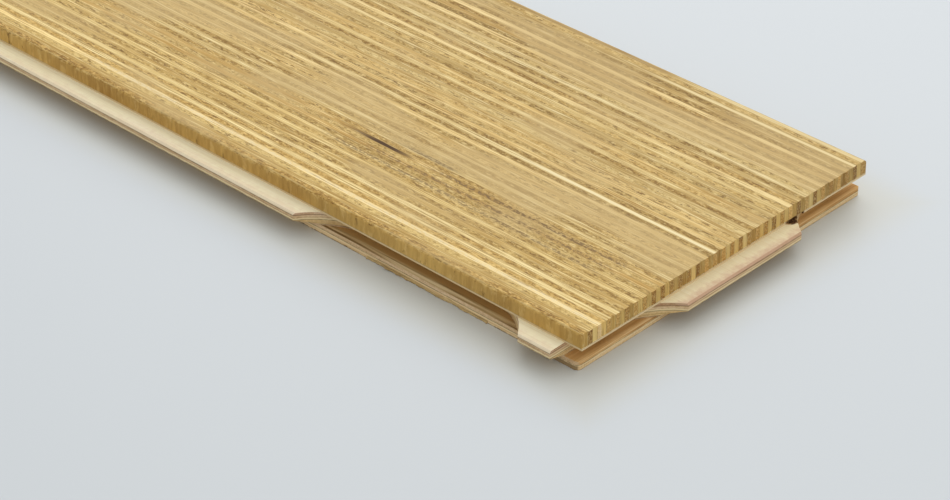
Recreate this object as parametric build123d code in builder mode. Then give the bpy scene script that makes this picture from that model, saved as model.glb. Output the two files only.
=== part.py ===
"""Parquet strip: oak slats on edge over a five-ply base with alternating tongue and groove.

Millimetres. X runs along the strip, Y across it and Z up. The origin is the centre of the
underside below the wear face. The long tongue is on the -Y side and the end tongue on the +X
end; the +Y side and the -X end carry plain grooves.
"""

import os
from math import floor, sqrt

from build123d import *

# Driving dimensions of the strip
length = 600.0
width = 100.0
slat_height = 3.5
slat_thickness = 1.5
side_bevel = 0.8
end_bevel = 0.25
ply_thickness = 1.3

# Tongue and groove
upper_lip = 0.55
groove_height = 3.6
groove_depth = 5.0
nose_clearance = 0.25
face_clearance = 0.05
tongue_root = 3.25
tongue_nose = 2.05
tongue_slope = 0.05
nose_chamfer = 0.4
lip_setback = 1.1
lip_round = 0.8
lip_corner = 1.3

# Disc cutter that mills the stopped grooves, and the tongue that it leaves on the end
cutter_radius = 22.0
end_tongue_length = 40.0
end_play = 0.5

# Knot hole in the plies at the root of the end tongue
knot_length = 6.2
knot_width = 4.0
knot_depth = 1.8
knot_overlap = 3.4

# Plies of the base, from the underside up
ply_names = ("back_ply", "lower_cross_ply", "core_ply", "upper_cross_ply", "face_ply")

# Levels
base_thickness = len(ply_names) * ply_thickness
groove_top = base_thickness - upper_lip
groove_floor = groove_top - groove_height

# Tongue section, from its root at the shoulder to its nose
tongue_reach = groove_depth - nose_clearance
root_top = groove_top - face_clearance
root_bottom = root_top - tongue_root
nose_top = root_top - tongue_slope
nose_bottom = nose_top - tongue_nose

# Disc cutter path: its centre line lies outside the edge, and its rim reaches the groove's depth
cutter_offset = cutter_radius - groove_depth


def half_chord(distance):
    """Half the chord that the cutter's rim makes on a line at this distance from its centre."""
    return sqrt(cutter_radius**2 - distance**2)


# The cutter stops where its rim leaves the end tongue with its full length at the nose
end_stop = end_tongue_length / 2 + half_chord(cutter_offset - tongue_reach)
run_in = width / 2 + tongue_reach + cutter_radius

# A window in the long tongue takes the end tongue of a strip laid square to this one
window_travel = end_tongue_length + 2 * end_play - 2 * half_chord(cutter_offset + tongue_reach)
window_centre = length / 2 - width / 2

# Slats, laid from the middle of the width; the two outer slats are thicker and take up the rest of it
slat_count = 2 * floor(width / (2 * slat_thickness))
slat_joints = [(row - slat_count / 2) * slat_thickness for row in range(1, slat_count)]
slat_edges = [-width, *slat_joints, width]
slat_spans = list(zip(slat_edges, slat_edges[1:]))
cross_grain_spans = slat_spans[0::2]
long_grain_spans = slat_spans[1::2]

os.makedirs("parts", exist_ok=True)


def tongue_section(plane):
    """Tongue profile on a plane whose X runs outwards from the shoulder and whose Y runs up.

    The profile starts at the depth of the groove, so that the tongue joins the web solidly.
    """
    with BuildSketch(plane) as section:
        with BuildLine():
            Polyline(
                (-groove_depth, root_bottom),
                (0, root_bottom),
                (tongue_reach, nose_bottom),
                (tongue_reach, nose_top - nose_chamfer),
                (tongue_reach - nose_chamfer, nose_top),
                (0, root_top),
                (-groove_depth, root_top),
                close=True,
            )
        make_face()
    return section.sketch


# Lower lip: flush with the wear face on the long sides, set back on the ends, rounded but on the tongue side
with BuildPart() as lower_lip:
    with BuildSketch(Plane.XY):
        Rectangle(length - 2 * lip_setback, width)
    extrude(amount=groove_floor)
    top_edges = lower_lip.faces().sort_by(Axis.Z)[-1].edges()
    tongue_side_edge = top_edges.sort_by(Axis.Y)[0]
    fillet([edge for edge in top_edges if edge != tongue_side_edge], radius=lip_round)
    with BuildSketch(Plane.XY):
        RectangleRounded(length - 2 * lip_setback, width, lip_corner)
    extrude(amount=groove_floor, mode=Mode.INTERSECT)

# Base: the glued plies as one block, with its tongues, then the grooves milled into its edges
with BuildPart() as base:
    with BuildSketch(Plane.XY.offset(groove_floor)):
        Rectangle(length, width)
    extrude(amount=base_thickness - groove_floor)
    add(lower_lip.part)

    # Long tongue on the -Y side
    tongue_side = Plane(origin=(0, -width / 2, 0), x_dir=(0, -1, 0), z_dir=(-1, 0, 0))
    extrude(tongue_section(tongue_side), amount=length / 2, both=True)

    # End tongue on the +X end
    tongue_end = Plane(origin=(length / 2, 0, 0), x_dir=(1, 0, 0), z_dir=(0, -1, 0))
    extrude(tongue_section(tongue_end), amount=end_stop, both=True)

    # Stopped grooves: each is the path of the disc cutter along the edge
    with BuildSketch(Plane.XY.offset(groove_floor)):
        side_line = -width / 2 - cutter_offset
        with Locations((window_centre, side_line), (-window_centre, side_line)):
            SlotCenterToCenter(window_travel, 2 * cutter_radius)
        end_line = length / 2 + cutter_offset
        pass_centre = (end_stop + run_in) / 2
        with Locations((end_line, pass_centre), (end_line, -pass_centre)):
            SlotCenterToCenter(run_in - end_stop, 2 * cutter_radius, rotation=90)
    extrude(amount=groove_height, mode=Mode.SUBTRACT)

    # Plain grooves along the whole +Y side and the whole -X end
    with BuildSketch(Plane.XY.offset(groove_floor)):
        with Locations((0, width / 2)):
            Rectangle(2 * length, 2 * groove_depth)
        with Locations((-length / 2, 0)):
            Rectangle(2 * groove_depth, 2 * width)
    extrude(amount=groove_height, mode=Mode.SUBTRACT)

    # Knot hole between the end tongue and the groove beside it
    with BuildSketch(Plane.XY.offset(base_thickness)):
        with Locations((length / 2 - knot_width / 6, end_tongue_length / 2 + knot_overlap)):
            Ellipse(knot_width / 2, knot_length / 2)
    extrude(amount=-knot_depth, mode=Mode.SUBTRACT)

# Plies: the base parted at its glue lines
for level, ply_name in enumerate(ply_names):
    with BuildPart() as ply:
        add(base.part)
        with Locations((0, 0, level * ply_thickness)):
            Box(
                2 * length,
                2 * width,
                ply_thickness,
                align=(Align.CENTER, Align.CENTER, Align.MIN),
                mode=Mode.INTERSECT,
            )
    ply.part.label = ply_name
    export_step(ply.part, f"parts/{ply_name}.step")

# Wear layer: one slab with its top edges eased, parted into two sets of slats
with BuildPart() as wear_layer:
    with BuildSketch(Plane.XY.offset(base_thickness)):
        Rectangle(length, width)
    extrude(amount=slat_height)
    end_edges = wear_layer.faces().sort_by(Axis.Z)[-1].edges().filter_by(Axis.Y)
    chamfer(end_edges, length=end_bevel)
    side_edges = wear_layer.faces().sort_by(Axis.Z)[-1].edges().filter_by(Axis.X)
    chamfer(side_edges, length=side_bevel)


def slat_gaps(spans):
    """Remove from the current part the slats that stand in the given spans across the strip."""
    for low, high in spans:
        with Locations((0, (low + high) / 2, base_thickness)):
            Box(
                2 * length,
                high - low,
                slat_height,
                align=(Align.CENTER, Align.CENTER, Align.MIN),
                mode=Mode.SUBTRACT,
            )


# Slats with the grain along the strip
with BuildPart() as long_grain_slats:
    add(wear_layer.part)
    slat_gaps(cross_grain_spans)
long_grain_slats.part.label = "long_grain_slats"
export_step(long_grain_slats.part, "parts/long_grain_slats.step")

# Slats between them with the grain turned across
with BuildPart() as cross_grain_slats:
    add(wear_layer.part)
    slat_gaps(long_grain_spans)
cross_grain_slats.part.label = "cross_grain_slats"
export_step(cross_grain_slats.part, "parts/cross_grain_slats.step")
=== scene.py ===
"""Looks of a parquet strip: oak slats on edge over a five-ply base with milled tongues and grooves.

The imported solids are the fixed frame. Every finish here is a solid pattern in the strip's own
coordinates, so the grain of a slat or a ply runs through it from face to face.
"""

import logging
import math
import random
from dataclasses import dataclass, field
from enum import Enum
from typing import Any, Union

import bpy
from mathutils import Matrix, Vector


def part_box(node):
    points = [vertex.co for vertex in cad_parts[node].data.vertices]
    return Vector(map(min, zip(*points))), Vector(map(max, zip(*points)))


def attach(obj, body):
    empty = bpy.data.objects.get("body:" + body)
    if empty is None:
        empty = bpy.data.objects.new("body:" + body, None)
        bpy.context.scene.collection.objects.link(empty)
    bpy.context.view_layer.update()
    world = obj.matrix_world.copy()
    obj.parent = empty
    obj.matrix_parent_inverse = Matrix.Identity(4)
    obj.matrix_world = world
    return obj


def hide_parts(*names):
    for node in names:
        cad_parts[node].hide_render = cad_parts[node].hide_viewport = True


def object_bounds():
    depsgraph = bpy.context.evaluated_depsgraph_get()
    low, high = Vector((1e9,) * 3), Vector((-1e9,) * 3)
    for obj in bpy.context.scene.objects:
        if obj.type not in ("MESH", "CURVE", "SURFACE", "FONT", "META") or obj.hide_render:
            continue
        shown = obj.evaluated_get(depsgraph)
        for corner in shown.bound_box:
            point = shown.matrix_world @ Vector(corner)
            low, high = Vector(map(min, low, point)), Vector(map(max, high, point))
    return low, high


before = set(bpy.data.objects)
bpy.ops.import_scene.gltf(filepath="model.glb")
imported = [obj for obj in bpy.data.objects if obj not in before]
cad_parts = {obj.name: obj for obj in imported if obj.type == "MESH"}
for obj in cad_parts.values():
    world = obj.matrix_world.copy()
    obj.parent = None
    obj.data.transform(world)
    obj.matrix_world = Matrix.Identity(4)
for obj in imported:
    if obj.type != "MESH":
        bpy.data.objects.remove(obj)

CAD_BOX = [list(corner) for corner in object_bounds()]

log = logging.getLogger("parquet_strip")

MM = 0.001
PER_METRE = 1000.0
TOUCH = 1e-6

Socket = bpy.types.NodeSocket
Feed = Union[Socket, float, tuple]
Place = tuple[Socket, Socket, Socket]
Colour = tuple[float, float, float]
Palette = tuple[Colour, ...]


def srgb(red: int, green: int, blue: int) -> Colour:
    """Turn a display colour of 0 to 255 into the linear colour that a shader takes.

    Args:
        red: Red as displayed.
        green: Green as displayed.
        blue: Blue as displayed.

    Returns:
        The linear colour.
    """
    def linear(channel: int) -> float:
        """Linear value of one display channel."""
        value = channel / 255
        return value / 12.92 if value <= 0.04045 else ((value + 0.055) / 1.055) ** 2.4
    return linear(red), linear(green), linear(blue)


class GrainAxis(Enum):
    """Direction of the wood fibres in the strip's frame."""

    ALONG = 0
    ACROSS = 1
    UPRIGHT = 2


class ShaderGraph:
    """A material's node tree, with one short method for each kind of node that the finishes use."""

    def __init__(self, name: str) -> None:
        """Start a material with a bare Principled shader.

        Args:
            name: Name of the material.
        """
        self.material = bpy.data.materials.new(name)
        self.material.use_nodes = True
        self.nodes = self.material.node_tree.nodes
        self.links = self.material.node_tree.links
        self.shader = self.nodes["Principled BSDF"]

    def _feed(self, socket: Socket, value: Feed) -> None:
        """Link a socket to another, or set its own value.

        Args:
            socket: The input.
            value: The socket, number or colour that it takes.
        """
        if isinstance(value, bpy.types.NodeSocket):
            self.links.new(value, socket)
        elif isinstance(value, tuple) and socket.type == "RGBA":
            socket.default_value = (*value, 1.0)
        else:
            socket.default_value = value

    def set(self, **inputs: Feed) -> None:
        """Set the shader's inputs by name, with underscores for spaces."""
        for name, value in inputs.items():
            self._feed(self.shader.inputs[name.replace("_", " ")], value)

    def math(self, operation: str, a: Feed, b: Feed = 0.0, c: Feed = 0.0) -> Socket:
        """Reckon with up to three numbers.

        Args:
            operation: The Math node's operation.
            a: First number.
            b: Second number.
            c: Third number.

        Returns:
            The result.
        """
        node = self.nodes.new("ShaderNodeMath")
        node.operation = operation
        for socket, value in zip(node.inputs, (a, b, c)):
            self._feed(socket, value)
        return node.outputs[0]

    def product(self, *factors: Feed) -> Socket:
        """Multiply numbers.

        Args:
            factors: Two numbers or more.

        Returns:
            Their product.
        """
        total = factors[0]
        for factor in factors[1:]:
            total = self.math("MULTIPLY", total, factor)
        return total

    def combine(self, x: Feed, y: Feed, z: Feed) -> Socket:
        """Make a vector.

        Args:
            x: Its part along the strip.
            y: Its part across.
            z: Its part up.

        Returns:
            The vector.
        """
        node = self.nodes.new("ShaderNodeCombineXYZ")
        for socket, value in zip(node.inputs, (x, y, z)):
            self._feed(socket, value)
        return node.outputs[0]

    def separate(self, vector: Socket) -> Place:
        """Take a vector apart.

        Args:
            vector: The vector.

        Returns:
            Its parts along, across and up.
        """
        node = self.nodes.new("ShaderNodeSeparateXYZ")
        self._feed(node.inputs[0], vector)
        return tuple(node.outputs)

    def place(self) -> Place:
        """Find the place on the strip.

        Returns:
            Place along, across and up, in millimetres.
        """
        coordinates = self.nodes.new("ShaderNodeTexCoord")
        scaled = self.nodes.new("ShaderNodeVectorMath")
        scaled.operation = "SCALE"
        self._feed(scaled.inputs[0], coordinates.outputs["Object"])
        self._feed(scaled.inputs["Scale"], PER_METRE)
        return self.separate(scaled.outputs[0])

    def facing(self) -> Place:
        """Find which way the face looks.

        Returns:
            How squarely it looks along, across and up, either way; 1 is square on.
        """
        coordinates = self.nodes.new("ShaderNodeTexCoord")
        parts = self.separate(coordinates.outputs["Normal"])
        return tuple(self.math("ABSOLUTE", part) for part in parts)

    def noise(self, vector: Socket, detail: float, roughness: float, distortion: float) -> Socket:
        """Make a noise of unit scale.

        Args:
            vector: Where it is sampled.
            detail: Number of finer layers.
            roughness: How strongly the finer layers show.
            distortion: How far the pattern is bent.

        Returns:
            The noise, from 0 to 1 about 0.5.
        """
        node = self.nodes.new("ShaderNodeTexNoise")
        self._feed(node.inputs["Vector"], vector)
        node.inputs["Scale"].default_value = 1.0
        node.inputs["Detail"].default_value = detail
        node.inputs["Roughness"].default_value = roughness
        node.inputs["Distortion"].default_value = distortion
        return node.outputs[0]

    def chance(self, number: Feed) -> Socket:
        """Draw a fixed random number.

        Args:
            number: What it is drawn for, such as a row of slats.

        Returns:
            The random number, from 0 to 1.
        """
        node = self.nodes.new("ShaderNodeTexWhiteNoise")
        node.noise_dimensions = "1D"
        self._feed(node.inputs["W"], number)
        return node.outputs["Value"]

    def step(self, value: Feed, low: float, high: float) -> Socket:
        """Turn a number into a smooth step.

        Args:
            value: The number.
            low: Where the step is 0.
            high: Where it is 1; below low for a step that falls.

        Returns:
            The step, from 0 to 1.
        """
        node = self.nodes.new("ShaderNodeMapRange")
        node.interpolation_type = "SMOOTHSTEP"
        flipped = low > high
        self._feed(node.inputs["Value"], value)
        node.inputs["From Min"].default_value = min(low, high)
        node.inputs["From Max"].default_value = max(low, high)
        node.inputs["To Min"].default_value = 1.0 if flipped else 0.0
        node.inputs["To Max"].default_value = 0.0 if flipped else 1.0
        return node.outputs[0]

    def mix(self, factor: Feed, a: Feed, b: Feed, blend: str = "MIX") -> Socket:
        """Mix two colours.

        Args:
            factor: How much of the second colour shows.
            a: First colour.
            b: Second colour.
            blend: How the second is laid over the first.

        Returns:
            The mixed colour.
        """
        node = self.nodes.new("ShaderNodeMix")
        node.data_type = "RGBA"
        node.blend_type = blend
        self._feed(node.inputs[0], factor)
        self._feed(node.inputs[6], a)
        self._feed(node.inputs[7], b)
        return node.outputs[2]

    def ramp(self, factor: Feed, colours: Palette) -> Socket:
        """Pick a colour out of a row of them.

        Args:
            factor: Place in the row, from 0 to 1.
            colours: The colours, evenly spread.

        Returns:
            The colour there.
        """
        node = self.nodes.new("ShaderNodeValToRGB")
        stops = node.color_ramp.elements
        while len(stops) < len(colours):
            stops.new(0.5)
        for place, (stop, colour) in enumerate(zip(stops, colours)):
            stop.position = place / (len(colours) - 1)
            stop.color = (*colour, 1.0)
        self._feed(node.inputs[0], factor)
        return node.outputs[0]

    def swing(self, base: Feed, *parts: tuple[Socket, float]) -> Socket:
        """Let noises push a number up and down.

        Args:
            base: The number.
            parts: Each noise with its weight.

        Returns:
            The number plus each noise's swing about 0.5, times its weight.
        """
        total = base
        for source, weight in parts:
            total = self.math("ADD", total, self.product(self.math("SUBTRACT", source, 0.5), weight))
        return total

    def bump(self, height: Socket, depth: float) -> None:
        """Raise the surface by a pattern.

        Args:
            height: The pattern, from 0 to 1.
            depth: How high 1 stands, in millimetres.
        """
        node = self.nodes.new("ShaderNodeBump")
        node.inputs["Strength"].default_value = 1.0
        node.inputs["Distance"].default_value = depth * MM
        self._feed(node.inputs["Height"], height)
        self._feed(self.shader.inputs["Normal"], node.outputs[0])


@dataclass(frozen=True)
class NoisePattern:
    """A noise that is stretched in the wood's own directions.

    Attributes:
        frequency: Noise cells per millimetre along, across and up.
        detail: Number of finer layers.
        roughness: How strongly the finer layers show.
        distortion: How far the pattern is bent.
    """

    frequency: tuple[float, float, float]
    detail: float = 2.0
    roughness: float = 0.5
    distortion: float = 0.0

    def at(self, graph: ShaderGraph, place: Place) -> Socket:
        """Sample the noise.

        Args:
            graph: The material's graph.
            place: Place along, across and up, in millimetres.

        Returns:
            The noise, from 0 to 1 about 0.5.
        """
        parts = (graph.math("MULTIPLY", part, scale) for part, scale in zip(place, self.frequency))
        return graph.noise(graph.combine(*parts), self.detail, self.roughness, self.distortion)


@dataclass(frozen=True)
class ToneAndSheenStreak:
    """A slat, or a stretch of one, that is much paler or darker than its neighbours; the whitish one near the
    near long edge is partly a painted sheen highlight.

    Attributes:
        across: Place of the slat from the near long edge, in millimetres.
        start: Where the streak starts, from the tongue end, in millimetres.
        end: Where it ends, from the tongue end, in millimetres.
        colour: Colour of the streak.
        strength: How fully it covers the slat.
        through: Whether it also shows on the slat's sawn end.
        broken: How far specks of the slat's own colour break it up, from 0 to 1.
        breadth: How far it reaches from the slat's middle; 0.5 is the joint.
    """

    across: float
    start: float
    end: float
    colour: Colour
    strength: float = 0.9
    through: bool = False
    broken: float = 0.0
    breadth: float = 0.45


@dataclass(frozen=True)
class SlatPattern:
    """How the slats stand across the strip, in millimetres.

    Attributes:
        thickness: Thickness of a slat.
        near_edge: Place of the near long edge.
        far_edge: Place of the far long edge.
        tongue_end: Place of the end with the tongue.
    """

    thickness: float
    near_edge: float
    far_edge: float
    tongue_end: float

    def rows(self) -> int:
        """Number of slats, an even number; the two outer ones take up the rest of the width."""
        return 2 * math.floor((self.far_edge - self.near_edge) / (2 * self.thickness) + 1e-6)

    def first_joint(self) -> float:
        """Where the first slat would start if it were as thick as the rest."""
        return (self.far_edge + self.near_edge - self.rows() * self.thickness) / 2

    def row_at(self, across: float) -> int:
        """Row that stands at a distance from the near long edge."""
        row = math.floor((self.near_edge + across - self.first_joint()) / self.thickness)
        return min(max(row, 0), self.rows() - 1)

    def span(self, row: int) -> tuple[float, float]:
        """Lower and upper side of the slat in a row.

        Args:
            row: Number of the row from the near long edge.

        Returns:
            Its two sides, in millimetres across the strip.
        """
        low = self.first_joint() + row * self.thickness
        high = low + self.thickness
        return (self.near_edge if row == 0 else low), (self.far_edge if row == self.rows() - 1 else high)


@dataclass(frozen=True)
class OakGrain:
    """The patterns that oak shows when it is cut one way.

    Attributes:
        fibre: Streaks of the fibres.
        fine: Finer streaks between them.
        pores: Open pores.
        flecks: Pale rays.
    """

    fibre: NoisePattern
    fine: NoisePattern
    pores: NoisePattern
    flecks: NoisePattern


LONG_GRAIN = OakGrain(
    fibre=NoisePattern((0.022, 2.0, 2.0), 5.0, 0.66),
    fine=NoisePattern((0.10, 3.4, 3.4), 3.0, 0.65),
    pores=NoisePattern((0.05, 2.9, 2.9), 3.0, 0.62),
    flecks=NoisePattern((0.08, 2.3, 2.3), 2.0, 0.6),
)
CROSS_GRAIN = OakGrain(
    fibre=NoisePattern((0.75, 1.1, 0.09), 4.0, 0.66),
    fine=NoisePattern((1.2, 1.7, 0.20), 3.0, 0.65),
    pores=NoisePattern((0.40, 2.1, 0.12), 4.0, 0.74),
    flecks=NoisePattern((0.36, 1.8, 0.12), 3.0, 0.7),
)


class SlatPoint:
    """What the oak's material knows about a point of a slat: its place, its slat and its grain."""

    SHUFFLE = 900.0
    TINT_SEED = 200.5
    SQUARE_ON = (0.55, 0.85)
    DRIFT = NoisePattern((0.02, 0.9, 0.0))
    RINGS = NoisePattern((0.17, 3.7, 0.02), 3.0, 0.6)

    def __init__(self, graph: ShaderGraph, finish: "OakFinish") -> None:
        """Work out what is known, with each slat's grain moved along by a luck of its own.

        Args:
            graph: The material's graph.
            finish: The finish that the material is made for.
        """
        pattern = finish.pattern
        grain = LONG_GRAIN if finish.grain is GrainAxis.ALONG else CROSS_GRAIN
        self.place = graph.place()
        x, y, z = self.place
        facing = graph.facing()
        self.on_grain_end = graph.step(facing[finish.grain.value], *self.SQUARE_ON)
        self.on_strip_end = graph.step(facing[0], *self.SQUARE_ON)
        self.on_top = graph.step(facing[2], *self.SQUARE_ON)

        count = graph.math("DIVIDE", graph.math("SUBTRACT", y, pattern.first_joint()), pattern.thickness)
        last = float(pattern.rows() - 1)
        self.row = graph.math("MINIMUM", graph.math("MAXIMUM", graph.math("FLOOR", count), 0.0), last)
        self.off_middle = graph.math("ABSOLUTE", graph.math("SUBTRACT", graph.math("FRACT", count), 0.5))
        self.luck = graph.chance(graph.math("ADD", self.row, finish.seed))
        self.tint = graph.chance(graph.math("ADD", self.row, finish.seed + self.TINT_SEED))

        run = graph.math("ADD", x, graph.math("MULTIPLY", self.luck, self.SHUFFLE))
        self.shuffled = (run, y, z)
        lane = (run, self.row, z)
        self.fibre = grain.fibre.at(graph, self.shuffled)
        self.fine = grain.fine.at(graph, self.shuffled)
        self.pores = grain.pores.at(graph, self.shuffled)
        self.flecks = grain.flecks.at(graph, self.shuffled)
        self.drift = self.DRIFT.at(graph, lane)
        self.rings = self.RINGS.at(graph, lane)


@dataclass(frozen=True)
class OakFinish:
    """Planed and oiled oak slats.

    Attributes:
        name: Name of the material.
        grain: Direction of the fibres.
        pattern: How the slats stand.
        face_colours: Dark, middle and light colour on a face along the fibres.
        end_colours: Dark, middle and light colour on end grain.
        calm: Colour that quiet stretches of the wear face fade to.
        calm_bands: Middle, from the near long edge, and half width of the quieter bands, in millimetres.
        neighbour: Colour of the slats beside these, which planing smeared over the joints.
        pore: Colour of the open pores.
        fleck: Colour of the pale rays between them.
        streaks: Slats that stand out.
        seed: Number that sets this finish's random draws apart.
    """

    name: str
    grain: GrainAxis
    pattern: SlatPattern
    face_colours: Palette
    end_colours: Palette
    calm: Colour
    calm_bands: tuple[tuple[float, float], ...]
    neighbour: Colour
    pore: Colour
    fleck: Colour
    streaks: tuple[ToneAndSheenStreak, ...] = ()
    seed: float = 0.0

    HUES = ((1.04, 0.99, 0.91), (1.0, 1.0, 1.0), (0.98, 1.0, 1.05))
    ACROSS = (
        (1.10, 1.07, 0.95),
        (1.07, 1.07, 1.06),
        (1.01, 1.01, 1.0),
        (1.03, 1.03, 1.0),
        (0.96, 0.95, 0.93),
    )
    WANDER = NoisePattern((0.16, 0.4, 0.5), 3.0, 0.6)
    QUIET = NoisePattern((0.022, 0.07, 0.0), 1.0)
    SPECKS = NoisePattern((0.8, 1.5, 0.0), 3.0, 0.65)
    SIDE_LIVELINESS = 0.4
    BAND_FADE = 3.0
    GLUE_STRENGTH = 0.16
    GRAIN_DEPTH = 0.08

    def material(self) -> bpy.types.Material:
        """Build the material.

        Returns:
            The oak material.
        """
        graph = ShaderGraph(self.name)
        point = SlatPoint(graph, self)
        colour = self._grain_colour(graph, point)
        colour = self._shade(graph, point, colour)
        colour = self._smear(graph, point, colour)
        colour = self._quieten(graph, point, colour)
        colour = self._mark(graph, point, colour)
        glue = graph.product(graph.step(point.off_middle, 0.40, 0.5), self.GLUE_STRENGTH)
        colour = graph.mix(glue, colour, self.pore)
        graph.set(Base_Color=colour, Roughness=0.62, Specular_IOR_Level=0.28)
        relief = graph.swing(0.5, (point.fibre, 0.7), (point.fine, 0.5), (point.pores, -0.4))
        graph.bump(relief, self.GRAIN_DEPTH)
        return graph.material

    def _grain_colour(self, graph: ShaderGraph, point: SlatPoint) -> Socket:
        """Colour the fibres, rays and pores.

        Args:
            graph: The material's graph.
            point: The point of the slat.

        Returns:
            The colour of the bare grain, livelier on the wear face than on the sides.
        """
        liveliness = graph.math("ADD", self.SIDE_LIVELINESS,
                                graph.product(point.on_top, 1.0 - self.SIDE_LIVELINESS))
        busy = graph.swing(0.5, (point.fibre, 1.5), (point.fine, 1.2))
        face_tone = graph.swing(0.5, (point.luck, 0.85), (point.drift, 0.9), (busy, liveliness))
        end_tone = graph.swing(0.5, (point.luck, 0.70), (point.drift, 0.8), (point.rings, 0.9), (busy, 1.1))
        colour = graph.mix(point.on_grain_end, graph.ramp(face_tone, self.face_colours),
                           graph.ramp(end_tone, self.end_colours))
        rays = graph.step(graph.math("SUBTRACT", 1.0, point.flecks), 0.54, 0.62)
        colour = graph.mix(graph.product(rays, 0.6, liveliness), colour, self.fleck)
        sparse = graph.product(graph.math("SUBTRACT", 1.0, point.on_top), 0.06)
        crowded = graph.swing(graph.math("SUBTRACT", point.pores, sparse), (point.drift, 0.20))
        return graph.mix(graph.product(graph.step(crowded, 0.52, 0.63), 0.85), colour, self.pore)

    def _shade(self, graph: ShaderGraph, point: SlatPoint, colour: Socket) -> Socket:
        """Tint each slat by its own luck, and all of them by their place across the strip.

        Args:
            graph: The material's graph.
            point: The point of the slat.
            colour: The colour so far.

        Returns:
            The tinted colour.
        """
        colour = graph.mix(1.0, colour, graph.ramp(point.tint, self.HUES), "MULTIPLY")
        width = graph.step(point.place[1], self.pattern.near_edge, self.pattern.far_edge)
        return graph.mix(1.0, colour, graph.ramp(width, self.ACROSS), "MULTIPLY")

    def _smear(self, graph: ShaderGraph, point: SlatPoint, colour: Socket) -> Socket:
        """Let the joints wander, with the next slat's colour smeared over them.

        Args:
            graph: The material's graph.
            point: The point of the slat.
            colour: The colour so far.

        Returns:
            The colour with smeared joints on the wear face and the ends.
        """
        wander = self.WANDER.at(graph, point.shuffled)
        smeared = graph.step(graph.swing(point.off_middle, (wander, 0.8)), 0.36, 0.52)
        striped = graph.math("MAXIMUM", point.on_top, point.on_strip_end)
        return graph.mix(graph.product(smeared, striped, 0.65), colour, self.neighbour)

    def _quieten(self, graph: ShaderGraph, point: SlatPoint, colour: Socket) -> Socket:
        """Fade stretches of the wear face to a calm colour, most of all in the calm bands.

        Args:
            graph: The material's graph.
            point: The point of the slat.
            colour: The colour so far.

        Returns:
            The colour with its quiet stretches.
        """
        quiet = self.QUIET.at(graph, point.place)
        for across, half in self.calm_bands:
            middle = self.pattern.near_edge + across
            away = graph.math("ABSOLUTE", graph.math("SUBTRACT", point.place[1], middle))
            band = graph.step(away, half + self.BAND_FADE, half - self.BAND_FADE)
            quiet = graph.math("ADD", quiet, graph.product(band, 0.16))
        hush = graph.product(graph.step(quiet, 0.52, 0.70), point.on_top, 0.55)
        return graph.mix(hush, colour, self.calm)

    def _mark(self, graph: ShaderGraph, point: SlatPoint, colour: Socket) -> Socket:
        """Lay the streaks over their slats.

        Args:
            graph: The material's graph.
            point: The point of the slat.
            colour: The colour so far.

        Returns:
            The colour with the streaks.
        """
        specks = self.SPECKS.at(graph, point.place)
        for streak in self.streaks:
            inside = self._streak_mask(graph, point, streak)
            if not streak.through:
                inside = graph.product(inside, point.on_top)
            if streak.broken:
                gaps = graph.product(graph.step(specks, 0.44, 0.58), -streak.broken)
                inside = graph.product(inside, graph.math("ADD", 1.0, gaps))
            heart = graph.step(graph.swing(point.off_middle, (point.fine, 0.3)), streak.breadth,
                               streak.breadth - 0.15)
            colour = graph.mix(graph.product(inside, heart), colour, streak.colour)
        return colour

    def _streak_mask(self, graph: ShaderGraph, point: SlatPoint, streak: ToneAndSheenStreak) -> Socket:
        """Find where a streak lies.

        Args:
            graph: The material's graph.
            point: The point of the slat.
            streak: The streak.

        Returns:
            Its strength on its slat between its ends, which fade out unevenly.
        """
        same = graph.math("COMPARE", point.row, float(self.pattern.row_at(streak.across)), 0.1)
        away = graph.math("SUBTRACT", self.pattern.tongue_end, point.place[0])
        ragged = graph.swing(away, (point.fine, 14.0))
        begun = graph.step(ragged, streak.start - 4.0, streak.start + 4.0)
        ended = graph.step(ragged, streak.end + 8.0, streak.end - 8.0)
        return graph.product(begun, ended, same, streak.strength)


@dataclass(frozen=True)
class Knot:
    """A dark knot that has fallen out of the plies.

    Attributes:
        middle: Its place along and across the strip, in millimetres.
        radii: Its radii along and across, in millimetres.
        floor: Height of its lowest point, in millimetres.
        colours: Dark and light colour of what is left of it.
    """

    middle: tuple[float, float]
    radii: tuple[float, float]
    floor: float
    colours: tuple[Colour, Colour] = (srgb(92, 62, 36), srgb(196, 156, 102))

    def mask(self, graph: ShaderGraph, place: Place, noise: Socket) -> Socket:
        """Where the knot stains the wood.

        Args:
            graph: The material's graph.
            place: Place along, across and up, in millimetres.
            noise: Pattern that makes its rim uneven.

        Returns:
            1 inside the knot, falling to 0 around it.
        """
        spans = [graph.math("DIVIDE", graph.math("SUBTRACT", part, middle), radius)
                 for part, middle, radius in zip(place, self.middle, self.radii)]
        reach = graph.math("ADD", *(graph.math("MULTIPLY", span, span) for span in spans))
        near = graph.step(graph.swing(reach, (noise, 0.6)), 1.6, 1.1)
        return graph.math("MULTIPLY", near, graph.step(place[2], self.floor - 0.5, self.floor - 0.1))


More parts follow.
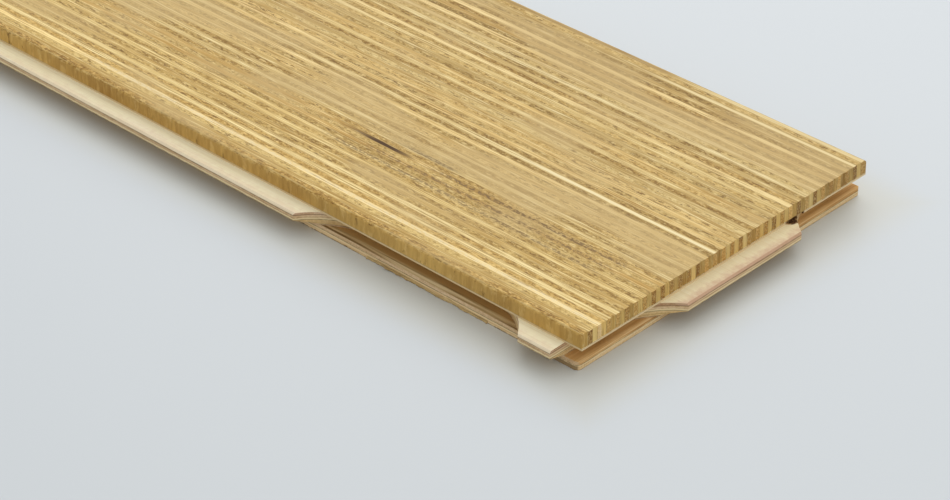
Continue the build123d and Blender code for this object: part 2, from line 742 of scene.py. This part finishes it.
@dataclass(frozen=True)
class VeneerFinish:
    """Bare milled veneer of the base.

    Attributes:
        name: Name of the material.
        grain: Direction of the fibres.
        face_colours: Dark, middle and light colour on a face along the fibres.
        end_colours: Dark, middle and light colour on end grain.
        low: Height of the ply's lower glue line, in millimetres.
        high: Height of its upper glue line, in millimetres.
        pale_seam: Thickness of the pale seam over its lower glue line, in millimetres.
        pale_cap: Thickness of the pale seam under its upper glue line, in millimetres.
        ragged: How dark its uneven lower edge is on the long sides, from 0 to 1.
        blush: Half length and half width of the wear face, if the ply's rubbed edges outside it are pinkish
            and the end tongue past it is dulled by painted shade.
        lip: Height over which the ply is the upper lip of the grooves, if it is.
        ledge: Place of the long side whose ledge the cutter left streaked, if it did.
        knot: A knot that goes through the ply.
    """

    name: str
    grain: GrainAxis
    face_colours: Palette
    end_colours: Palette
    low: float
    high: float
    pale_seam: float = 0.0
    pale_cap: float = 0.0
    ragged: float = 0.0
    blush: tuple[float, float] | None = None
    lip: float | None = None
    ledge: float | None = None
    knot: Knot | None = None

    GLUE = srgb(104, 72, 44)
    SEAM = srgb(240, 220, 170)
    LOWER_EDGE_DARK = srgb(98, 72, 40)
    TORN_CORNER = (281.0, 287.0)
    PINK = srgb(214, 178, 152)
    END_PAINTED_SHADE = srgb(241, 236, 228)
    LIP_END = srgb(234, 210, 164)
    LIP_SIDE = srgb(216, 190, 142)
    LEDGE = (srgb(128, 98, 58), srgb(200, 170, 120), srgb(238, 216, 170))
    LEDGE_END = (292.0, 286.0)
    GROOVE = srgb(186, 146, 90)
    ACROSS_FIBRES = 1.9
    ALONG_FIBRES = 0.03
    FINER = 2.3
    CLOUD = NoisePattern((0.035, 0.06, 0.25))
    STRATA = NoisePattern((0.06, 0.06, 3.2), 3.0, 0.6)
    WORN = NoisePattern((0.5, 0.5, 1.2), 3.0, 0.65)
    STREAKS = NoisePattern((0.03, 0.95, 0.0), 4.0, 0.6, 0.5)
    TEARS = NoisePattern((0.5, 0.5, 0.9), 3.0, 0.7)
    BITS = NoisePattern((0.9, 0.9, 0.9), 3.0, 0.7)
    FIBRE_DEPTH = 0.06

    def material(self) -> bpy.types.Material:
        """Build the material.

        Returns:
            The veneer material.
        """
        graph = ShaderGraph(self.name)
        here = graph.place()
        facing = graph.facing()
        scales = [self.ACROSS_FIBRES] * 3
        scales[self.grain.value] = self.ALONG_FIBRES
        fibre = NoisePattern(tuple(scales), 5.0, 0.64).at(graph, here)
        fine = NoisePattern(tuple(self.FINER * scale for scale in scales), 3.0, 0.6).at(graph, here)
        cloud = self.CLOUD.at(graph, here)
        worn = self.WORN.at(graph, here)
        upright = graph.step(facing[2], 0.75, 0.45)
        layered = graph.product(graph.math("SUBTRACT", self.STRATA.at(graph, here), 0.5), upright, 2.2)
        tone = graph.math("ADD", graph.swing(0.5, (fibre, 1.1), (fine, 0.7), (cloud, 0.7)), layered)
        on_end = graph.step(facing[self.grain.value], 0.30, 0.75)
        colour = graph.mix(on_end, graph.ramp(tone, self.face_colours), graph.ramp(tone, self.end_colours))
        if self.lip is not None:
            colour = self._lip_edge(graph, colour, here[2], facing)
        if self.blush is not None:
            colour = self._blush(graph, colour, here, cloud, worn)
        if self.ledge is not None:
            colour = self._ledge_streaks(graph, colour, here, upright)
        colour = self._seams(graph, colour, here, facing, upright, worn)
        if self.knot is not None:
            left = graph.mix(graph.step(self.BITS.at(graph, here), 0.48, 0.6), *self.knot.colours)
            colour = graph.mix(self.knot.mask(graph, here, worn), colour, left)
        graph.set(Base_Color=colour, Roughness=0.78, Specular_IOR_Level=0.2)
        graph.bump(graph.swing(0.5, (fibre, 0.7), (fine, 0.5)), self.FIBRE_DEPTH)
        return graph.material

    def _lip_edge(self, graph: ShaderGraph, colour: Socket, z: Socket, facing: Place) -> Socket:
        """Colour the thin edge that is the upper lip: pale on the ends, tan on the sides.

        Args:
            graph: The material's graph.
            colour: The colour so far.
            z: Height, in millimetres.
            facing: Which way the face looks.

        Returns:
            The colour with the lip's edge.
        """
        above = graph.step(z, self.lip - 0.03, self.lip + 0.01)
        on_end = graph.product(above, graph.step(facing[0], 0.6, 0.9))
        on_side = graph.product(above, graph.step(facing[1], 0.6, 0.9))
        return graph.mix(on_side, graph.mix(on_end, colour, self.LIP_END), self.LIP_SIDE)

    def _blush(self, graph: ShaderGraph, colour: Socket, here: Place, cloud: Socket, worn: Socket) -> Socket:
        """Rub the edges outside the wear face pinkish, most on the end tongue, which is also dulled by
        painted shade.

        Args:
            graph: The material's graph.
            colour: The colour so far.
            here: Place on the strip, in millimetres.
            cloud: Broad pattern that moves the rubbed edge.
            worn: Fine pattern that breaks it up.

        Returns:
            The colour with rubbed edges and the end tongue's painted shade.
        """
        outside = graph.math("MAXIMUM", graph.math("SUBTRACT", here[0], self.blush[0]),
                             graph.math("SUBTRACT", -self.blush[1], here[1]))
        rubbed = graph.step(graph.swing(outside, (cloud, 4.0), (worn, 5.0)), 1.6, 5.2)
        on_end = graph.step(here[0], self.blush[0] - 0.1, self.blush[0] + 0.1)
        strength = graph.math("ADD", 0.4, graph.product(on_end, 0.35))
        colour = graph.mix(graph.product(rubbed, strength), colour, self.PINK)
        # Painted shade: the end tongue past the wear face is dulled by a multiplied tint.
        return graph.mix(on_end, colour, graph.mix(1.0, colour, self.END_PAINTED_SHADE, "MULTIPLY"))

    def _ledge_streaks(self, graph: ShaderGraph, colour: Socket, here: Place, upright: Socket) -> Socket:
        """Streak the ledge in front of a groove along the way that the cutter went.

        Args:
            graph: The material's graph.
            colour: The colour so far.
            here: Place on the strip, in millimetres.
            upright: 1 on upright faces, 0 on flat ones.

        Returns:
            The colour with the streaked ledge.
        """
        inward = graph.math("SUBTRACT", here[1], self.ledge)
        streaks = self.STREAKS.at(graph, here)
        flat = graph.math("SUBTRACT", 1.0, upright)
        along = graph.swing(graph.math("ABSOLUTE", here[0]), (streaks, 4.0))
        near = graph.product(flat, graph.step(inward, 5.1, 5.0), graph.step(along, *self.LEDGE_END))
        front = graph.step(graph.swing(inward, (streaks, 1.2)), 2.2, 1.2)
        lines = graph.ramp(graph.swing(0.5, (streaks, 4.2)), self.LEDGE)
        return graph.mix(near, colour, graph.mix(front, self.GROOVE, lines))

    def _seams(self, graph: ShaderGraph, colour: Socket, here: Place, facing: Place, upright: Socket,
               worn: Socket) -> Socket:
        """Add the pale seams, the darker uneven lower edge and the dark glue lines.

        Args:
            graph: The material's graph.
            colour: The colour so far.
            here: Place on the strip, in millimetres.
            facing: Which way the face looks.
            upright: 1 on upright faces, 0 on flat ones.
            worn: Fine pattern that makes the lines uneven.

        Returns:
            The colour with its seams.
        """
        rise = graph.math("SUBTRACT", here[2], self.low)
        drop = graph.math("SUBTRACT", self.high, here[2])
        for depth, thickness in ((rise, self.pale_seam), (drop, self.pale_cap)):
            if thickness:
                seam = graph.step(graph.swing(depth, (worn, 0.5)), thickness, 0.6 * thickness)
                colour = graph.mix(graph.product(seam, upright, 0.85), colour, self.SEAM)
        # Darker along the uneven lower edge of the long sides, in a band that grows taller towards the +X
        # end.
        if self.ragged:
            tears = self.TEARS.at(graph, here)
            corner = graph.step(here[0], *self.TORN_CORNER)
            torn = graph.step(graph.swing(rise, (tears, 1.6), (corner, -1.0)), 0.9, 0.4)
            on_side = graph.step(facing[1], 0.5, 0.8)
            colour = graph.mix(graph.product(torn, on_side, self.ragged), colour, self.LOWER_EDGE_DARK)
        edge = graph.swing(graph.math("MINIMUM", rise, drop), (worn, 0.35))
        glue = graph.step(edge, 0.16, 0.03)
        return graph.mix(graph.product(glue, upright, 0.6), colour, self.GLUE)


def dress(node: str, material: bpy.types.Material) -> None:
    """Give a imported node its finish.

    Args:
        node: Name of the node.
        material: The finish.
    """
    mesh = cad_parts[node].data
    mesh.materials.clear()
    mesh.materials.append(material)
    log.info("dressed %s with %s", node, material.name)


class SlatSet(Enum):
    """The two sets of slats, by the row that each starts in."""

    CROSS_GRAIN = 0
    LONG_GRAIN = 1


@dataclass
class WearLayer:
    """The oak slats that make the wear face.

    Attributes:
        slat_thickness: Thickness of a slat in millimetres.
        side_bevel: Bevel on the long top edges, in millimetres.
        end_cuts: Distances of the cuts from an end that its torn fibres move between, in millimetres.
        tear: How far the ends of each set are torn back, in millimetres.
        tear_size: Size of the tears, in millimetres.
        calm: Colour of the quiet stretches.
        calm_bands: Middle and half width of the quieter bands, in millimetres from the near long edge.
        width_cuts: Where each slat is cut across its thickness, as shares of it.
        height_cuts: Where each slat is cut across its height, as shares of it.
        foot_tear: Share of the tear that reaches the foot of an end.
    """

    slat_thickness: float = 1.5
    side_bevel: float = 0.8
    end_cuts: tuple[float, ...] = (0.4, 1.4)
    tear: dict[SlatSet, float] = field(default_factory=lambda: {
        SlatSet.CROSS_GRAIN: 0.45,
        SlatSet.LONG_GRAIN: 0.25,
    })
    tear_size: float = 1.1
    calm: Colour = srgb(202, 174, 118)
    calm_bands: tuple[tuple[float, float], ...] = ((36.0, 6.0), (88.0, 8.0))
    width_cuts: tuple[float, ...] = (0.34, 0.67)
    height_cuts: tuple[float, ...] = (0.3, 0.55, 0.75, 0.9)
    foot_tear: float = 0.35

    def pattern(self) -> SlatPattern:
        """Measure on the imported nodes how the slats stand.

        Returns:
            The pattern of the slats.
        """
        low_cross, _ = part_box("cross_grain_slats")
        _, high_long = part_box("long_grain_slats")
        return SlatPattern(self.slat_thickness, low_cross.y * PER_METRE, high_long.y * PER_METRE,
                           high_long.x * PER_METRE)

    def finish_long_grain(self) -> OakFinish:
        """Choose the finish of the slats with the grain along the strip.

        Returns:
            The finish, with the streaks that stand out.
        """
        pale = srgb(246, 228, 178)
        cream = srgb(238, 216, 160)
        scuffs_and_sheen = srgb(236, 222, 184)
        dark = srgb(78, 50, 12)
        brown = srgb(160, 126, 70)
        grey = srgb(122, 96, 56)
        return OakFinish(
            name="long_grain_oak",
            grain=GrainAxis.ALONG,
            pattern=self.pattern(),
            face_colours=(srgb(180, 146, 80), srgb(216, 187, 122), srgb(242, 219, 162)),
            end_colours=(srgb(122, 84, 36), srgb(188, 146, 78), srgb(224, 184, 114)),
            calm=self.calm,
            calm_bands=self.calm_bands,
            neighbour=srgb(180, 148, 86),
            pore=srgb(156, 120, 56),
            fleck=srgb(246, 226, 170),
            streaks=(
                ToneAndSheenStreak(44.8, -20.0, 58.0, pale, 0.9, breadth=0.34),
                ToneAndSheenStreak(96.0, -20.0, 62.0, cream, 0.85, breadth=0.38),
                ToneAndSheenStreak(99.2, -20.0, 48.0, cream, 0.60),
                ToneAndSheenStreak(99.2, 58.0, 620.0, brown, 0.70),
                # Whitish blotchy streak near the near long edge: partly worn scuffs, partly a painted sheen
                # highlight.
                ToneAndSheenStreak(6.0, -20.0, 170.0, scuffs_and_sheen, 0.5, through=True, broken=0.7),
                ToneAndSheenStreak(81.0, -20.0, 150.0, cream, 0.30),
                ToneAndSheenStreak(27.0, 80.0, 96.0, dark, 1.0),
                ToneAndSheenStreak(30.0, 66.0, 84.0, grey, 0.75, broken=0.5),
                ToneAndSheenStreak(27.0, 10.0, 70.0, grey, 0.90, broken=0.8),
                ToneAndSheenStreak(24.0, 12.0, 90.0, grey, 0.80, broken=0.8),
                ToneAndSheenStreak(21.0, 15.0, 100.0, grey, 0.75, broken=0.8),
            ),
            seed=3.0,
        )

    def finish_cross_grain(self) -> OakFinish:
        """Choose the finish of the slats that show their end grain on the wear face.

        Returns:
            The finish.
        """
        return OakFinish(
            name="cross_grain_oak",
            grain=GrainAxis.UPRIGHT,
            pattern=self.pattern(),
            face_colours=(srgb(152, 115, 54), srgb(202, 168, 98), srgb(228, 198, 130)),
            end_colours=(srgb(140, 107, 44), srgb(188, 155, 88), srgb(218, 189, 124)),
            calm=self.calm,
            calm_bands=self.calm_bands,
            neighbour=srgb(212, 184, 120),
            pore=srgb(114, 82, 30),
            fleck=srgb(230, 204, 142),
            seed=41.0,
        )

    def build(self) -> None:
        """Model, dress and place both sets of slats."""
        finishes = {
            SlatSet.CROSS_GRAIN: ("cross_grain_slats", self.finish_cross_grain()),
            SlatSet.LONG_GRAIN: ("long_grain_slats", self.finish_long_grain()),
        }
        for kind, (node, finish) in finishes.items():
            piece = self._slats(kind, node)
            piece.name = "torn_" + node
            piece.data.materials.clear()
            piece.data.materials.append(finish.material())
            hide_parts(node)
            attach(piece, "root")
            log.info("built %s with %d faces", piece.name, len(piece.data.polygons))

    def _slats(self, kind: SlatSet, node: str) -> bpy.types.Object:
        """Model one set of slats as a single piece.

        Args:
            kind: Which set.
            node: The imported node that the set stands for.

        Returns:
            The piece.
        """
        pattern = self.pattern()
        rows = range(kind.value, pattern.rows(), 2)
        outer = rows[0] if kind is SlatSet.CROSS_GRAIN else rows[-1]
        inner = [row for row in rows if row != outer]
        low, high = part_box(node)
        slats = self._slat(pattern.span(inner[0]), low, high)
        copies = slats.modifiers.new("copies", "ARRAY")
        copies.count = len(inner)
        copies.use_relative_offset = False
        copies.use_constant_offset = True
        copies.constant_offset_displace = (0, 2 * self.slat_thickness * MM, 0)
        bpy.ops.object.modifier_apply(modifier=copies.name)
        side = pattern.near_edge if kind is SlatSet.CROSS_GRAIN else pattern.far_edge
        edge = self._slat(pattern.span(outer), low, high, side)
        bpy.ops.object.select_all(action="DESELECT")
        edge.select_set(True)
        slats.select_set(True)
        bpy.context.view_layer.objects.active = slats
        bpy.ops.object.join()
        self._tear_ends(slats, kind, low, high)
        return slats

    def _slat(self, span: tuple[float, float], low: Vector, high: Vector,
              eased: float | None = None) -> bpy.types.Object:
        """Model one slat, with the cuts that its torn ends need.

        Args:
            span: Its two sides, in millimetres across the strip.
            low: Lowest corner of its set.
            high: Highest corner of its set.
            eased: The side whose top edge is bevelled, if one is.

        Returns:
            The slat.
        """
        near, far = (side * MM for side in span)
        size = (high.x - low.x, far - near, high.z - low.z)
        middle = ((high.x + low.x) / 2, (near + far) / 2, (high.z + low.z) / 2)
        bpy.ops.object.select_all(action="DESELECT")
        bpy.ops.mesh.primitive_cube_add(size=1.0, location=middle, scale=size)
        slat = bpy.context.object
        bpy.ops.object.transform_apply(location=True, rotation=True, scale=True)
        if eased is not None:
            self._ease(slat, eased * MM, high.z)
        bpy.ops.object.mode_set(mode="EDIT")
        for cut in self.end_cuts:
            for place in (low.x + cut * MM, high.x - cut * MM):
                self._cut((place, 0, 0), (1, 0, 0))
        for share in self.width_cuts:
            self._cut((0, near + share * size[1], 0), (0, 1, 0))
        for share in self.height_cuts:
            self._cut((0, 0, low.z + share * size[2]), (0, 0, 1))
        bpy.ops.object.mode_set(mode="OBJECT")
        return slat

    @staticmethod
    def _cut(place: tuple[float, float, float], normal: tuple[float, float, float]) -> None:
        """Cut the whole mesh, in edit mode, on a plane through a place with a normal."""
        bpy.ops.mesh.select_all(action="SELECT")
        bpy.ops.mesh.bisect(plane_co=place, plane_no=normal)

    def _ease(self, slat: bpy.types.Object, side: float, top: float) -> None:
        """Bevel one long top edge of the slat in hand.

        Args:
            slat: The slat, still a plain block.
            side: Place of the edge across the strip, in metres.
            top: Height of the wear face, in metres.
        """
        points = slat.data.vertices
        bpy.ops.object.mode_set(mode="EDIT")
        bpy.ops.mesh.select_mode(type="EDGE")
        bpy.ops.mesh.select_all(action="DESELECT")
        bpy.ops.object.mode_set(mode="OBJECT")
        for seam in slat.data.edges:
            ends = [points[index].co for index in seam.vertices]
            seam.select = all(abs(end.y - side) < TOUCH and abs(end.z - top) < TOUCH for end in ends)
        bpy.ops.object.mode_set(mode="EDIT")
        bpy.ops.mesh.bevel(offset=self.side_bevel * MM, segments=3, profile=0.5, affect="EDGES")
        bpy.ops.mesh.select_mode(type="VERT")
        bpy.ops.object.mode_set(mode="OBJECT")

    def _tear_ends(self, piece: bpy.types.Object, kind: SlatSet, low: Vector, high: Vector) -> None:
        """Tear the sawn ends back unevenly, most along the top edge.

        Args:
            piece: The set of slats.
            kind: Which set.
            low: Lowest corner of the set.
            high: Highest corner of the set.
        """
        texture = bpy.data.textures.new("torn_fibres_" + kind.name.lower(), "CLOUDS")
        texture.noise_scale = self.tear_size * MM
        texture.noise_depth = 2
        for place, inward in ((high.x, -1.0), (low.x, 1.0)):
            group = piece.vertex_groups.new(name="end")
            for point in piece.data.vertices:
                if abs(point.co.x - place) < TOUCH:
                    rise = (point.co.z - low.z) / (high.z - low.z)
                    weight = self.foot_tear + (1.0 - self.foot_tear) * rise ** 3
                    group.add([point.index], weight, "REPLACE")
            tear = piece.modifiers.new("tear", "DISPLACE")
            tear.texture = texture
            tear.texture_coords = "LOCAL"
            tear.direction = "X"
            tear.mid_level = 0.0
            tear.strength = inward * self.tear[kind] * MM
            tear.vertex_group = group.name
            bpy.ops.object.modifier_apply(modifier=tear.name)
            piece.vertex_groups.clear()


@dataclass
class PlyBase:
    """The five plies under the slats.

    Attributes:
        face_half: Half length and half width of the wear face, in millimetres.
        lip: Height of the groove's roof, over which the top ply is its upper lip.
        knot: The knot at the root of the end tongue.
        pale: Colours of the top ply along its fibres.
        layered: Colours of the top ply's end grain.
        warm: Colours of the lower cross ply along its fibres.
        tan: Colours of the upper cross ply, and of the lower one's end grain.
        core: Colours of the middle ply.
        back: Colours of the bottom ply.
    """

    face_half: tuple[float, float] = (300.0, 50.0)
    lip: float = 5.93
    knot: Knot = Knot((299.33, 23.4), (2.0, 3.1), 4.7)
    pale: Palette = (srgb(230, 214, 172), srgb(247, 236, 198), srgb(252, 245, 218))
    layered: Palette = (srgb(146, 108, 74), srgb(196, 158, 120), srgb(224, 194, 158))
    warm: Palette = (srgb(150, 106, 58), srgb(202, 156, 96), srgb(236, 204, 150))
    tan: Palette = (srgb(168, 132, 90), srgb(212, 180, 136), srgb(234, 208, 168))
    core: Palette = (srgb(182, 148, 92), srgb(213, 180, 124), srgb(234, 207, 156))
    back: Palette = (srgb(190, 154, 102), srgb(230, 198, 146), srgb(244, 220, 176))

    def finishes(self) -> dict[str, VeneerFinish]:
        """Choose the finish of each ply.

        Returns:
            The finishes by the name of the node.
        """
        def finish(node: str, grain: GrainAxis, face: Palette, end: Palette, **details: Any) -> VeneerFinish:
            """Make the finish of one ply between its own glue lines.

            Args:
                node: Name of the ply's node.
                grain: Direction of its fibres.
                face: Colours along the fibres.
                end: Colours of the end grain.
                details: The finish's other values.

            Returns:
                The finish.
            """
            low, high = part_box(node)
            levels = (low.z * PER_METRE, high.z * PER_METRE)
            return VeneerFinish(node + "_veneer", grain, face, end, *levels, **details)
        return {
            "face_ply": finish("face_ply", GrainAxis.ALONG, self.pale, self.layered, lip=self.lip,
                               blush=self.face_half, knot=self.knot),
            "upper_cross_ply": finish("upper_cross_ply", GrainAxis.ACROSS, self.tan, self.tan, pale_seam=0.55,
                                      knot=self.knot),
            "core_ply": finish("core_ply", GrainAxis.ALONG, self.core, self.core),
            "lower_cross_ply": finish("lower_cross_ply", GrainAxis.ACROSS, self.warm, self.tan,
                                      ledge=-self.face_half[1]),
            "back_ply": finish("back_ply", GrainAxis.ALONG, self.back, self.back, pale_cap=0.3, ragged=0.7),
        }

    def build(self) -> None:
        """Dress each ply."""
        for node, finish in self.finishes().items():
            dress(node, finish.material())


@dataclass
class TornFibres:
    """Fibres that the cutter tore out of the bottom ply at the front window.

    Attributes:
        start: Where the torn stretch starts along the strip, in millimetres.
        end: Where it ends.
        reach: How far the fibres stand out, in millimetres.
        height: How high they stand at the edge, in millimetres.
        step: Distance between the cuts that they fray at, in millimetres.
        slivers: Number of loose slivers.
        drop: Share of the height by which the outer edge is lower.
        fray_size: Size of the fraying, in millimetres.
        fade: Length over which the stretch dies out at its ends, in millimetres.
        margin: Distance of the slivers from the ends of the stretch, in millimetres.
        sliver_length: Shortest and longest sliver, in millimetres.
        sliver_turn: Smallest and largest angle of a sliver to the edge, in degrees.
        colours: Dark, middle and light colour.
    """

    start: float = 234.0
    end: float = 272.0
    reach: float = 0.45
    height: float = 0.8
    step: float = 0.5
    slivers: int = 9
    drop: float = 0.85
    fray_size: float = 1.4
    fade: float = 5.0
    margin: float = 3.0
    sliver_length: tuple[float, float] = (3.0, 6.0)
    sliver_turn: tuple[float, float] = (4.0, 12.0)
    colours: Palette = (srgb(104, 78, 42), srgb(190, 160, 106), srgb(228, 200, 146))

    def build(self) -> None:
        """Model and dress the fibres."""
        low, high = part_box("back_ply")
        piece = self._fringe(low.y)
        others = [self._sliver(number, low.y) for number in range(self.slivers)]
        bpy.ops.object.select_all(action="DESELECT")
        for part in (piece, *others):
            part.select_set(True)
        bpy.context.view_layer.objects.active = piece
        bpy.ops.object.join()
        piece.name = "torn_back_fibres"
        finish = VeneerFinish("torn_back_fibres", GrainAxis.ALONG, self.colours, self.colours,
                              low.z * PER_METRE, high.z * PER_METRE, ragged=0.35)
        piece.data.materials.clear()
        piece.data.materials.append(finish.material())
        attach(piece, "root")
        log.info("built %s with %d faces", piece.name, len(piece.data.polygons))

    def _fringe(self, side: float) -> bpy.types.Object:
        """Model the wedge of fibres that still hang on the ply.

        Args:
            side: Place of the ply's long side, in metres.

        Returns:
            The wedge, with a frayed outer edge.
        """
        length = (self.end - self.start) * MM
        middle = (self.start + self.end) / 2 * MM
        size = (length, self.reach * MM, self.height * MM)
        bpy.ops.object.select_all(action="DESELECT")
        place = (middle, side - size[1] / 2, size[2] / 2)
        bpy.ops.mesh.primitive_cube_add(size=1.0, location=place, scale=size)
        fringe = bpy.context.object
        bpy.ops.object.transform_apply(location=True, rotation=True, scale=True)
        bpy.ops.object.mode_set(mode="EDIT")
        for number in range(1, int((self.end - self.start) / self.step)):
            bpy.ops.mesh.select_all(action="SELECT")
            bpy.ops.mesh.bisect(plane_co=((self.start + number * self.step) * MM, 0, 0), plane_no=(1, 0, 0))
        bpy.ops.mesh.select_all(action="DESELECT")
        bpy.ops.object.mode_set(mode="OBJECT")
        outer = [point.index for point in fringe.data.vertices if point.co.y < side - size[1] / 2]
        for index in outer:
            point = fringe.data.vertices[index]
            point.select = point.co.z > size[2] / 2
        bpy.ops.object.mode_set(mode="EDIT")
        bpy.ops.transform.translate(value=(0, 0, -self.drop * size[2]))
        bpy.ops.object.mode_set(mode="OBJECT")
        self._fray(fringe, outer)
        return fringe

    def _fray(self, fringe: bpy.types.Object, outer: list[int]) -> None:
        """Fray the outer edge: pull it back unevenly, and wholly at both ends.

        Args:
            fringe: The wedge.
            outer: Numbers of the points along its outer edge.
        """
        texture = bpy.data.textures.new("fray", "CLOUDS")
        texture.noise_scale = self.fray_size * MM
        texture.noise_depth = 4
        texture.contrast = 2.2
        group = fringe.vertex_groups.new(name="outer")
        for index in outer:
            along = fringe.data.vertices[index].co.x * PER_METRE
            whole = min(along - self.start, self.end - along) / self.fade
            group.add([index], 1.0 if whole > 1.0 else 1.0 + 0.6 * (1.0 - whole), "REPLACE")
        fray = fringe.modifiers.new("fray", "DISPLACE")
        fray.texture = texture
        fray.texture_coords = "LOCAL"
        fray.direction = "Y"
        fray.mid_level = 0.0
        fray.strength = self.reach * MM
        fray.vertex_group = group.name
        bpy.ops.object.modifier_apply(modifier=fray.name)
        fringe.vertex_groups.clear()

    def _sliver(self, number: int, side: float) -> bpy.types.Object:
        """Model one loose sliver that points out from the edge.

        Args:
            number: Number of the sliver.
            side: Place of the ply's long side, in metres.

        Returns:
            The sliver.
        """
        luck = random.Random(number + 5)
        long = luck.uniform(*self.sliver_length)
        share = (number + luck.random()) / (self.slivers + 1)
        along = self.start + self.margin + (self.end - self.start - 2 * self.margin) * share
        swing = math.radians(luck.uniform(*self.sliver_turn) * luck.choice((-1, 1)))
        place = (along * MM, side - luck.uniform(0.15, 0.4) * MM, luck.uniform(0.3, 0.9) * MM)
        bpy.ops.object.select_all(action="DESELECT")
        bpy.ops.mesh.primitive_cone_add(vertices=4, radius1=0.2 * MM, radius2=0.03 * MM, depth=long * MM,
                                        location=place, rotation=(0, math.pi / 2, swing))
        sliver = bpy.context.object
        bpy.ops.object.transform_apply(location=True, rotation=True, scale=True)
        return sliver


@dataclass(frozen=True)
class SoftLamp:
    """A large square lamp that faces the strip.

    Attributes:
        name: Name of the lamp.
        offset: Its place from the aim, in metres.
        size: Its side, in metres.
        power: Its power, in watts.
        colour: Its colour.
    """

    name: str
    offset: tuple[float, float, float]
    size: float
    power: float
    colour: Colour = (1.0, 0.985, 0.96)

    def build(self, aim: Vector) -> None:
        """Place the lamp and turn it to a point.

        Args:
            aim: The point, in metres.
        """
        lamp = bpy.data.lights.new(self.name, "AREA")
        lamp.shape = "SQUARE"
        lamp.size = self.size
        lamp.energy = self.power
        lamp.color = self.colour
        holder = bpy.data.objects.new(self.name, lamp)
        bpy.context.scene.collection.objects.link(holder)
        holder.visible_camera = False
        holder.location = aim + Vector(self.offset)
        holder.rotation_euler = (-Vector(self.offset)).to_track_quat("-Z", "Y").to_euler()


@dataclass
class Studio:
    """Floor, light and camera.

    Attributes:
        aim: Point of the wear face in the middle of the picture, in metres.
        azimuth: Direction of the view in degrees; 0 looks along +Y.
        elevation: How steeply the camera looks down, in degrees.
        distance: From the aim to the camera, in metres.
        lens: Focal length, in millimetres.
        sensor: Width of the camera's sensor, in millimetres.
        floor_colours: Colour of the floor before and behind the strip; the darker front is painted shade.
        floor_reach: Distances behind the aim over which the one fades to the other, in millimetres.
        floor_size: Side of the floor, in metres.
        warmth: Tint that the strip's warm light gives the floor beside it.
        warm_reach: How far that tint reaches, in millimetres.
        sky_strength: Strength of the even light from all round.
        lamps: The soft lamps.
    """

    aim: tuple[float, float, float] = (0.26002, -0.04148, 0.010)
    azimuth: float = 43.612
    elevation: float = 33.269
    distance: float = 0.68494
    lens: float = 115.672
    sensor: float = 36.0
    floor_colours: tuple[Colour, Colour] = (srgb(199, 204, 206), srgb(207, 212, 215))
    floor_reach: tuple[float, float] = (-220.0, 260.0)
    floor_size: float = 6.0
    warmth: Colour = (1.0, 0.96, 0.87)
    warm_reach: float = 13.0
    sky_strength: float = 0.71
    lamps: tuple[SoftLamp, ...] = (SoftLamp("soft_key", (-0.34, 0.70, 0.9), 1.4, 8.0),
                                   SoftLamp("end_fill", (1.0, -0.1, 0.75), 1.0, 1.5))

    def build(self) -> None:
        """Make the floor, the lamps and the camera."""
        self._floor()
        self._light()
        self._camera()

    def _floor(self) -> None:
        """Pale floor under the strip, painted a little lighter behind it and darker in front as shade, with a
        painted warm bounce tint beside the strip.
        """
        bpy.ops.object.select_all(action="DESELECT")
        bpy.ops.mesh.primitive_plane_add(size=self.floor_size, location=(0, 0, 0))
        floor = bpy.context.object
        floor.name = "studio_floor"
        graph = ShaderGraph("studio_floor")
        x, y, _ = graph.place()
        turn = math.radians(self.azimuth)
        behind = graph.math("ADD", graph.math("MULTIPLY", graph.math("SUBTRACT", x, self.aim[0] * PER_METRE),
                                              -math.sin(turn)),
                            graph.math("MULTIPLY", graph.math("SUBTRACT", y, self.aim[1] * PER_METRE),
                                       math.cos(turn)))
        # Painted shade: the floor fades from darker in front of the strip to lighter behind it.
        colour = graph.mix(graph.step(behind, *self.floor_reach), *self.floor_colours)
        low, high = (Vector(corner) * PER_METRE for corner in CAD_BOX)
        aside = [graph.math("MAXIMUM", graph.math("SUBTRACT", start, part), graph.math("SUBTRACT", part, end))
                 for part, start, end in zip((x, y), low, high)]
        beside = graph.math("MAXIMUM", *aside)
        # Painted bounce light: a warm tint on the floor within warm_reach of the strip's footprint.
        colour = graph.mix(graph.step(beside, self.warm_reach, 0.0), colour,
                           graph.mix(1.0, colour, self.warmth, "MULTIPLY"))
        graph.set(Base_Color=colour, Roughness=0.4, Specular_IOR_Level=0.5)
        floor.data.materials.append(graph.material)

    def _light(self) -> None:
        """Even sky light and the soft lamps."""
        world = bpy.data.worlds.new("studio_sky")
        bpy.context.scene.world = world
        world.use_nodes = True
        background = world.node_tree.nodes["Background"]
        background.inputs["Color"].default_value = (*srgb(250, 252, 255), 1.0)
        background.inputs["Strength"].default_value = self.sky_strength
        for lamp in self.lamps:
            lamp.build(Vector(self.aim))

    def _camera(self) -> None:
        """Camera at the photograph's angle."""
        turn = math.radians(self.azimuth)
        rise = math.radians(self.elevation)
        back = Vector((math.sin(turn) * math.cos(rise), -math.cos(turn) * math.cos(rise), math.sin(rise)))
        data = bpy.data.cameras.new("photo_camera")
        data.lens = self.lens
        data.sensor_fit = "HORIZONTAL"
        data.sensor_width = self.sensor
        data.clip_start = 0.01
        holder = bpy.data.objects.new("photo_camera", data)
        bpy.context.scene.collection.objects.link(holder)
        holder.location = Vector(self.aim) + back * self.distance
        holder.rotation_euler = (-back).to_track_quat("-Z", "Y").to_euler()
        bpy.context.scene.camera = holder


def main() -> None:
    """Dress the strip and build the studio."""
    logging.basicConfig(level=logging.INFO, format="%(name)s: %(message)s")
    WearLayer().build()
    PlyBase().build()
    TornFibres().build()
    Studio().build()
    bpy.context.scene.view_settings.view_transform = "Standard"
    bpy.context.view_layer.update()


if __name__ == "__main__":
    main()
